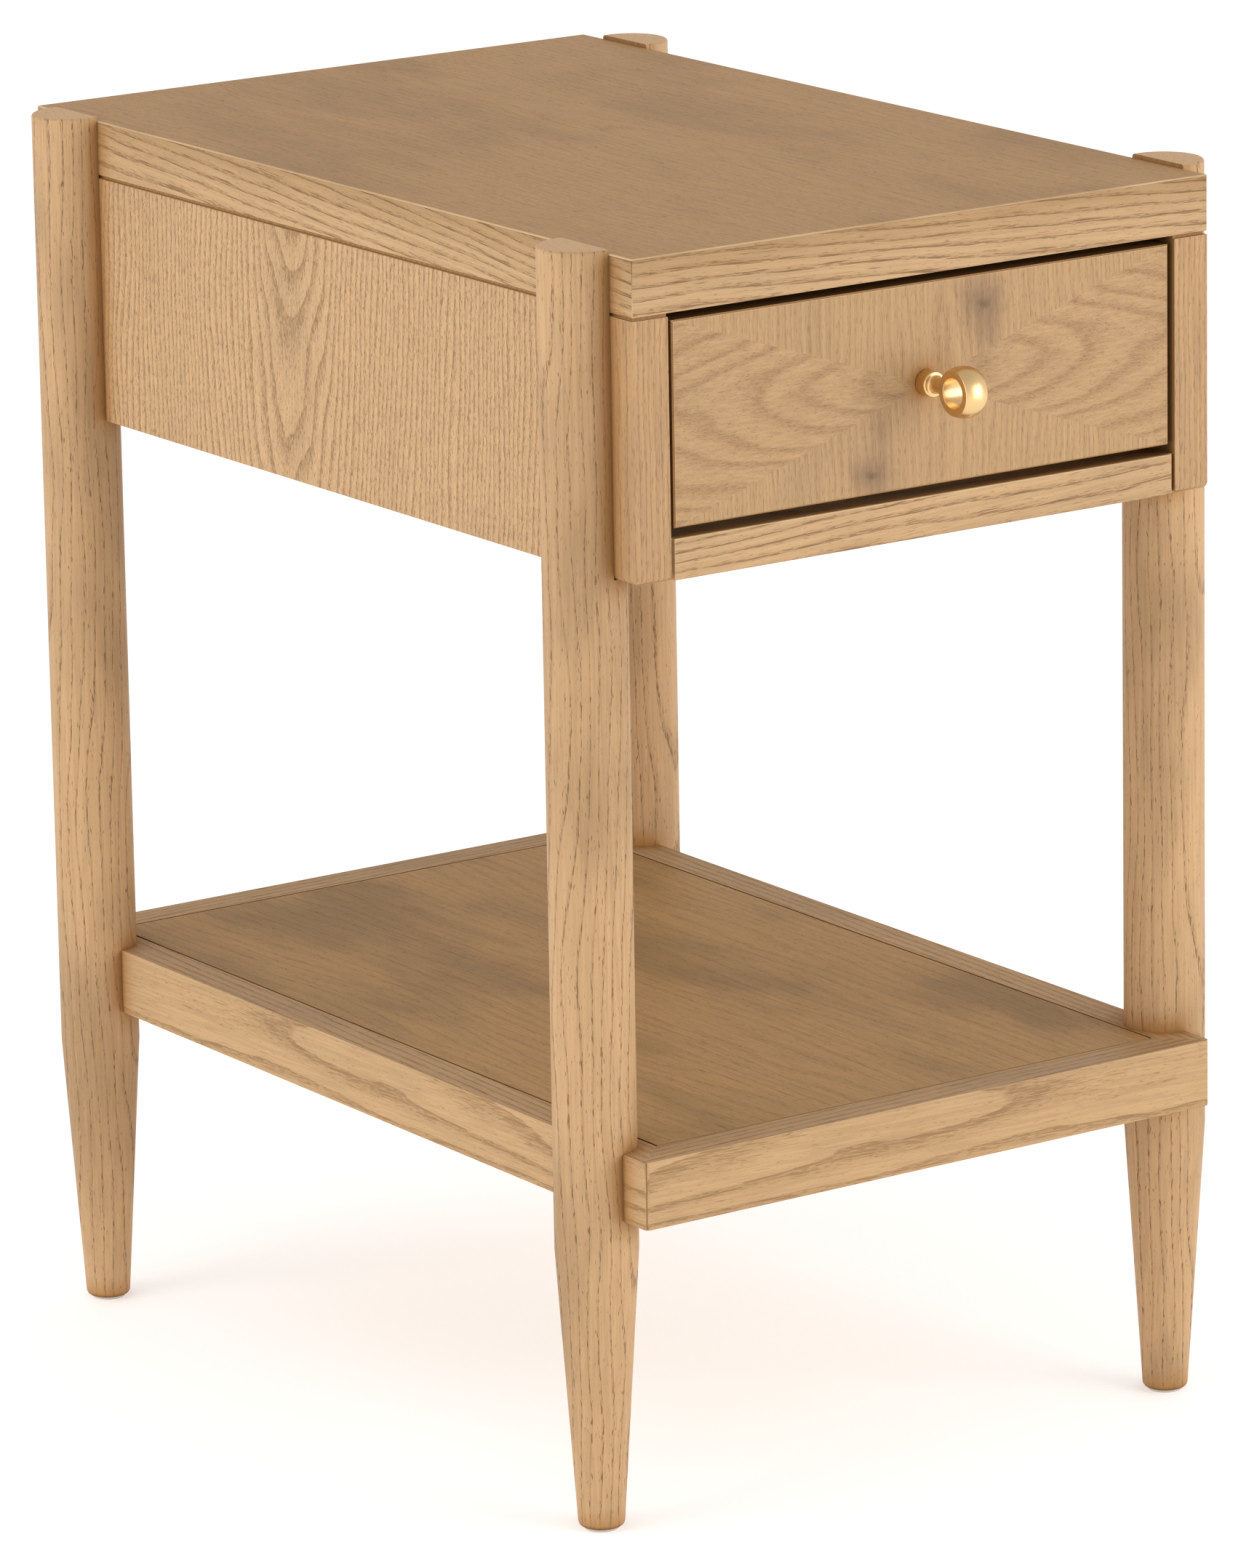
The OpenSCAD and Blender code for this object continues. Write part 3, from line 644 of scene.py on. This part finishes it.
# %% Posts, rail and panels
POST_FOOT_ROUNDING = 3.2 * MM
for side, inward in (("left", 1), ("right", -1)):
    for end in ("front", "back"):
        node = f"{end}_post_{side}"
        low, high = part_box(node)
        post_oak = oak(node + "_oak", POST, "Z", (low.x - 0.06, low.y - 0.03, low.z), lean=(0.8, 0.6))
        mesh = part_mesh(node)
        foot = low.z + 0.1 * MM
        soften(mesh, POST_FOOT_ROUNDING, 5, lambda edge: all(vert.co.z < foot for vert in edge.verts),
               wear_and_highlight=0.3)
        soften(mesh, 0.6 * MM, 2, lambda edge: any(vert.co.z > foot for vert in edge.verts), 60, wear_and_highlight=0.6)
        finish_piece(node + "_wood", mesh, post_oak, node, "table")
    node = "side_panel_" + side
    low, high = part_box(node)
    outer_x = low.x if side == "left" else high.x
    panel_heart = (outer_x + inward * 0.026, middle_y + 0.03, (low.z + high.z) / 2)
    panel_oak = oak(node + "_oak", FACE, "Z", panel_heart, lean=(2, -8 * inward))
    soft_part(node, panel_oak, width=0.5 * MM, wear_and_highlight=0.0)

low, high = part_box("drawer_rail")
rail_oak = oak("drawer_rail_oak", SOLID, "X", (0, low.y + 0.03, low.z - 0.03), lean=(-3, 1.2))
soft_part("drawer_rail", rail_oak, width=0.6 * MM, wear_and_highlight=0.6)
low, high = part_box("back_panel")
back_oak = oak("back_panel_oak", FACE, "Z", (0.02, high.y - 0.016, (low.z + high.z) / 2), lean=(5, 1))
soft_part("back_panel", back_oak, width=0.5 * MM, wear_and_highlight=0.0)

# %% [markdown]
# ## The legs
#
# Each leg is turned from one oak blank. Beside the case its inner side is cut flat, so it stands against the
# case as a half round and ends just proud of the top. Every blank comes from another part of the tree, so
# each leg gets its own heart, off to one side, and the rings cross the round surface as rows of dashes.

# %% Turned legs
LEG_HEARTS = {("front", "left"): (0.066, -0.04), ("front", "right"): (-0.06, 0.045),
              ("back", "left"): (0.07, -0.055), ("back", "right"): (-0.06, 0.05)}
FOOT_ROUNDING = 2.2 * MM
for (end, side), (off_x, off_y) in LEG_HEARTS.items():
    node = f"leg_{end}_{side}"
    low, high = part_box(node)
    centre = (low + high) / 2
    leg_oak = oak(node + "_oak", LEG, "Z", centre + Vector((off_x, off_y, 0)), lean=(0.7, -0.5))
    mesh = part_mesh(node)
    foot, ankle = low.z + 1 * MM, low.z + 10 * MM
    soften(mesh, FOOT_ROUNDING, 4, lambda edge: all(vert.co.z < foot for vert in edge.verts), wear_and_highlight=0.0)
    soften(mesh, 0.6 * MM, 2, lambda edge: all(vert.co.z > ankle for vert in edge.verts))
    print(f"{node}: {len(mesh.faces)} faces")
    finish_piece(node + "_wood", mesh, leg_oak, node, "table")

# %% [markdown]
# ## The shelf
#
# The shelf is a mitred frame, whose two side rails are cut round the legs. A veneered panel is let in flush,
# with a fine groove around it that hides the wood's movement.

# %% Find the shelf's corners
shelf_low = Vector((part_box("shelf_rail_left")[0].x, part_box("shelf_rail_front")[0].y))
shelf_high = Vector((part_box("shelf_rail_right")[1].x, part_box("shelf_rail_back")[1].y))
SHELF_CORNERS = [(Vector((x, y, 0)), Vector((outward_x, outward_y, 0)))
                 for x, outward_x in ((shelf_low.x, -1), (shelf_high.x, 1))
                 for y, outward_y in ((shelf_low.y, -1), (shelf_high.y, 1))]
SHELF_ROUNDING = 3 * MM
ROUNDING_CUTS = 5


def round_corner(mesh, corner, outward, radius):
    """Planes an upright corner of the whole frame round, with flat cuts that each touch the rounding."""
    centre = corner - outward * radius
    for number in range(ROUNDING_CUTS):
        turn = math.radians(90) * (number + 0.5) / ROUNDING_CUTS
        cut = Vector((outward.x * math.cos(turn), outward.y * math.sin(turn), 0))
        everything = mesh.verts[:] + mesh.edges[:] + mesh.faces[:]
        made = bmesh.ops.bisect_plane(mesh, geom=everything, dist=0.001 * MM, plane_co=centre + cut * radius,
                                      plane_no=cut, clear_outer=True)
        rim = [part for part in made["geom_cut"] if isinstance(part, bmesh.types.BMEdge)]
        if rim:
            bmesh.ops.holes_fill(mesh, edges=rim, sides=0)


def outer_arris(edge):
    """True for a shelf rail's edges that the mitre doesn't cover."""
    return not on_mitre(edge)


print("the shelf measures", [round(side, 4) for side in shelf_high - shelf_low], "metres")

# %% Shelf frame and panel
for side, grain in BANDS.items():
    node = "shelf_rail_" + side
    low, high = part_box(node)
    centre = (low + high) / 2
    shelf_heart = centre + Vector((0.03, 0.03, 0.012))
    shelf_oak = oak(node + "_oak", SHELF_RAIL, grain, shelf_heart, lean=(1.2, 1.2))
    mesh = part_mesh(node)
    for corner, outward in SHELF_CORNERS:
        round_corner(mesh, corner, outward, SHELF_ROUNDING)
    soften(mesh, MITRE_GROOVE, 1, upright_mitre, wear_and_highlight=0.0)
    soften(mesh, 1.0 * MM, 3, outer_arris, wear_and_highlight=0.8)
    finish_piece(node + "_wood", mesh, shelf_oak, node, "table")
low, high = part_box("shelf_panel")
shelf_heart = (-0.01, middle_y, high.z - 0.02)
shelf_panel_oak = oak("shelf_panel_oak", SHELF_PANEL, "Y", shelf_heart, lean=(-2.2, -0.8))
soft_part("shelf_panel", shelf_panel_oak, width=0.3 * MM, wear_and_highlight=0.0)

# %% [markdown]
# ## The drawer front
#
# Four leaves of veneer meet on the diagonals: the grain runs sideways in the left and right ones and upright
# in the other two. One material can do this, because wood space is only a way to read a place: we read it
# along X in two of the leaves and along Z in the others. The left and right leaves are folded at the middle,
# so they mirror each other as leaves from one log do. The upper and lower ones share one straight grain.

# %% Match the four leaves
face_low, face_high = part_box("drawer_front")
face_centre = (face_low + face_high) / 2
face_half = (face_high - face_low) / 2
LEAF = dict(FACE, light=srgb(175, 141, 102), dark=srgb(149, 115, 81), streak_depth=0.25, pore_depth=0.4,
            cloud_depth=0.4, streak_share=0.29, waviness=0.04, spring_share=0.8, spring_edge=0.3,
            pore_share=0.385, pore_pull=0.12)
LYING_RING_GAP, UPRIGHT_RING_GAP = 0.0056, 0.0026
LYING_TONE, UPRIGHT_TONE = 0.7, 0.3
LYING_HEART, LYING_LEAN = (0, 0.004, 0.0), (0, math.radians(-10), math.radians(1))
UPRIGHT_HEART = (0.5, 0.01, 0.04)
# The drawer front's arrises are lightened more than other edges: a painted highlight over their wear.
FRONT_WEAR_AND_HIGHLIGHT = 1.5


def matched_oak():
    """The drawer front's veneer: left and right leaves that mirror each other, and upright grain between."""
    material = bpy.data.materials.new("matched_oak")
    material.use_nodes = True
    tree = material.node_tree
    own = add(tree, "ShaderNodeTexCoord").outputs["Object"]
    off = add(tree, "ShaderNodeVectorMath", {0: own, 1: face_centre}, operation="SUBTRACT").outputs[0]
    x, y, z = add(tree, "ShaderNodeSeparateXYZ", {0: off}).outputs
    wide = maths(tree, "DIVIDE", maths(tree, "ABSOLUTE", x), face_half.x)
    tall = maths(tree, "DIVIDE", maths(tree, "ABSOLUTE", z), face_half.z)
    sideways = maths(tree, "GREATER_THAN", wide, tall)
    lying = add(tree, "ShaderNodeCombineXYZ", {0: maths(tree, "ABSOLUTE", x), 1: z, 2: y}).outputs[0]
    lying = add(tree, "ShaderNodeMapping",
                {"Vector": lying, "Location": LYING_HEART, "Rotation": LYING_LEAN},
                vector_type="TEXTURE").outputs[0]
    upright = add(tree, "ShaderNodeCombineXYZ", {0: z, 1: x, 2: y}).outputs[0]
    upright = add(tree, "ShaderNodeMapping", {"Vector": upright, "Location": UPRIGHT_HEART},
                  vector_type="TEXTURE").outputs[0]
    mixed = add(tree, "ShaderNodeMix", data_type="VECTOR")
    tree.links.new(sideways, mixed.inputs[0])
    tree.links.new(upright, mixed.inputs[4])
    tree.links.new(lying, mixed.inputs[5])
    front_y = face_low.y
    knots = (
        ((0.0353, front_y, face_centre.z + 0.0336), 0.021, (1, 1, 1.2), 0.85),
        ((0.0375, front_y, face_centre.z + 0.017), 0.011, (1, 1, 1.6), 0.35),
        ((-0.0328, front_y, face_centre.z - 0.0414), 0.018, (1, 1, 1.0), 0.85),
        ((-0.027, front_y, face_centre.z - 0.021), 0.012, (1, 1, 2.2), 0.4),
    )
    gap = maths(tree, "MULTIPLY_ADD", sideways, LYING_RING_GAP - UPRIGHT_RING_GAP, UPRIGHT_RING_GAP)
    tone = maths(tree, "MULTIPLY_ADD", sideways, LYING_TONE - UPRIGHT_TONE, UPRIGHT_TONE)
    oak_shader(material, mixed.outputs[1], LEAF, marks=knots, ring_gap=gap, tone=tone)
    return material


soft_part("drawer_front", matched_oak(), width=0.7 * MM, body="drawer", wear_and_highlight=FRONT_WEAR_AND_HIGHLIGHT)

# %% [markdown]
# ## The drawer box and the hardware
#
# The box is plain sanded wood, and so are the two stretchers under the top and the dowels. The box slides on
# steel members, whose zinc plate has a faint cloudy shine, and the legs stand on nylon glides.

# %% Box walls, stretchers and dowels
for number, node in enumerate(("drawer_box_front", "drawer_back", "drawer_side_left", "drawer_side_right",
                               "drawer_bottom")):
    low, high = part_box(node)
    grain = "Y" if "side" in node else "X"
    box_oak = oak(node + "_wood_finish", INSIDE, grain, (0.03 * number - 0.05, low.y, low.z - 0.06),
                  lean=(0.8, 0.5))
    soft_part(node, box_oak, width=0.6 * MM, body="drawer")
for node in ("top_stretcher_front", "top_stretcher_back"):
    low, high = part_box(node)
    stretcher_oak = oak(node + "_finish", INSIDE, "X", (0, low.y - 0.04, low.z + 0.03))
    soft_part(node, stretcher_oak, width=0.8 * MM)
dowel_oak = oak("dowel_wood", INSIDE, "X", (0, 0, 0.1))
for node in ("rail_dowels", "shelf_dowels"):
    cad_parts[node].data.materials[0] = dowel_oak


# %% Zinc-plated steel and nylon
ZINC_DARK, ZINC_LIGHT = (0.50, 0.52, 0.55, 1), (0.68, 0.69, 0.70, 1)
NYLON_DARK, NYLON_LIGHT = (0.48, 0.45, 0.41, 1), (0.56, 0.53, 0.49, 1)


def zinc_plate():
    """Bright zinc: a cool grey metal whose plate is slightly cloudy."""
    material = bpy.data.materials.new("zinc_plate")
    material.use_nodes = True
    tree = material.node_tree
    shader = tree.nodes["Principled BSDF"]
    own = add(tree, "ShaderNodeTexCoord").outputs["Object"]
    cloudy = add(tree, "ShaderNodeTexNoise", {"Vector": own, "Scale": 90.0, "Detail": 3.0}).outputs[0]
    drawn = add(tree, "ShaderNodeTexNoise",
                {"Vector": scaled(tree, own, (2400, 12, 2400)), "Scale": 1.0, "Detail": 2.0}).outputs[0]
    colour = blend(tree, cloudy, ZINC_DARK, ZINC_LIGHT)
    tree.links.new(colour, shader.inputs["Base Color"])
    tree.links.new(step(tree, cloudy, 0.3, 0.7, 0.24, 0.42), shader.inputs["Roughness"])
    relief = add(tree, "ShaderNodeBump", {"Height": drawn, "Strength": 0.1, "Distance": 0.0001})
    tree.links.new(relief.outputs[0], shader.inputs["Normal"])
    shader.inputs["Metallic"].default_value = 1.0
    return material


def nylon():
    """Pale grey nylon with a fine moulded texture."""
    material = bpy.data.materials.new("pale_nylon")
    material.use_nodes = True
    tree = material.node_tree
    shader = tree.nodes["Principled BSDF"]
    own = add(tree, "ShaderNodeTexCoord").outputs["Object"]
    speckle = add(tree, "ShaderNodeTexNoise", {"Vector": own, "Scale": 1500.0, "Detail": 2.0}).outputs[0]
    tree.links.new(blend(tree, speckle, NYLON_DARK, NYLON_LIGHT), shader.inputs["Base Color"])
    tree.links.new(step(tree, speckle, 0.2, 0.8, 0.45, 0.65), shader.inputs["Roughness"])
    relief = add(tree, "ShaderNodeBump", {"Height": speckle, "Strength": 0.2, "Distance": 0.0001})
    tree.links.new(relief.outputs[0], shader.inputs["Normal"])
    return material


zinc = zinc_plate()
METAL_NODES = ["top_screws", "leg_bolts", "drawer_front_screws", "knob_screw"]
METAL_NODES += [f"slide_{member}_{side}" for member in ("outer", "middle", "inner")
                for side in ("left", "right")]
for node in METAL_NODES:
    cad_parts[node].data.materials[0] = zinc
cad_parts["foot_glides"].data.materials[0] = nylon()
print(len(METAL_NODES), "steel parts have their plate")

# %% [markdown]
# ## The knob
#
# The knob is turned brass with a satin surface. Its stem carries a ring made from a ball, which is cut flat
# on its left and right sides and bored through from one flat to the other. Satin brass is brushed round its
# own axis, so the brushing on the ring runs round the X axis and on the stem round Y.

# %% Satin brass
BRASS_DARK, BRASS_LIGHT = (0.76, 0.505, 0.225, 1), (0.83, 0.575, 0.285, 1)
BRUSH_FINENESS = 5000


def satin_brass(name, centre, axis):
    """Brass brushed in fine rings round an axis through a point."""
    material = bpy.data.materials.new(name)
    material.use_nodes = True
    tree = material.node_tree
    shader = tree.nodes["Principled BSDF"]
    own = add(tree, "ShaderNodeTexCoord").outputs["Object"]
    off = add(tree, "ShaderNodeVectorMath", {0: own, 1: centre}, operation="SUBTRACT").outputs[0]
    split = add(tree, "ShaderNodeSeparateXYZ", {0: off}).outputs
    along = split["XYZ".index(axis)]
    away = add(tree, "ShaderNodeVectorMath", {0: off}, operation="LENGTH").outputs["Value"]
    lines = add(tree, "ShaderNodeCombineXYZ", {0: along, 1: away}).outputs[0]
    brushes = scaled(tree, lines, (BRUSH_FINENESS, BRUSH_FINENESS, 0))
    brushed = add(tree, "ShaderNodeTexNoise", {"Vector": brushes, "Scale": 1.0, "Detail": 2.0}).outputs[0]
    cloudy = add(tree, "ShaderNodeTexNoise", {"Vector": own, "Scale": 160.0, "Detail": 2.0}).outputs[0]
    colour = blend(tree, cloudy, BRASS_DARK, BRASS_LIGHT)
    tree.links.new(colour, shader.inputs["Base Color"])
    tree.links.new(step(tree, brushed, 0.3, 0.7, 0.27, 0.32), shader.inputs["Roughness"])
    relief = add(tree, "ShaderNodeBump", {"Height": brushed, "Strength": 0.05, "Distance": 0.00002})
    tree.links.new(relief.outputs[0], shader.inputs["Normal"])
    shader.inputs["Metallic"].default_value = 1.0
    return material


print("the brushing has a grain of", round(1000 / BRUSH_FINENESS, 2), "mm")

# %% Turn the ring
ring_low, ring_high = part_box("knob_ring")
ring_centre = (ring_low + ring_high) / 2
RING_BORE = 7.6 * MM
RING_EDGE = 0.35 * MM
BALL_CUTS = 14
RING_STEPS = 96


def turned_ring():
    """The ball with two flat sides and a hole: its outline, spun round the X axis."""
    half_length = (ring_high.x - ring_low.x) / 2
    ball = (ring_high.z - ring_low.z) / 2
    widest = math.asin(half_length / ball)
    outline = [(-half_length, RING_BORE)]
    for number in range(BALL_CUTS + 1):
        turn = widest * (2 * number / BALL_CUTS - 1)
        outline.append((ball * math.sin(turn), ball * math.cos(turn)))
    outline.append((half_length, RING_BORE))
    mesh = bmesh.new()
    verts = [mesh.verts.new(ring_centre + Vector((x, 0, r))) for x, r in outline]
    edges = [mesh.edges.new(pair) for pair in zip(verts, verts[1:] + verts[:1])]
    bmesh.ops.spin(mesh, geom=verts + edges, cent=ring_centre, axis=(1, 0, 0), angle=math.tau,
                   steps=RING_STEPS, use_merge=True, use_duplicate=False)
    return mesh


ring_brass = satin_brass("knob_ring_brass", ring_centre, "X")
mesh = turned_ring()
soften(mesh, RING_EDGE, 3)
print("the ring has", len(mesh.faces), "faces")
finish_piece("knob_ring_turned", mesh, ring_brass, "knob_ring", "drawer")

stem_low, stem_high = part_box("knob_stem")
stem_brass = satin_brass("knob_stem_brass", (stem_low + stem_high) / 2, "Y")
mesh = part_mesh("knob_stem")
soften(mesh, 0.12 * MM, 2)
finish_piece("knob_stem_turned", mesh, stem_brass, "knob_stem", "drawer")
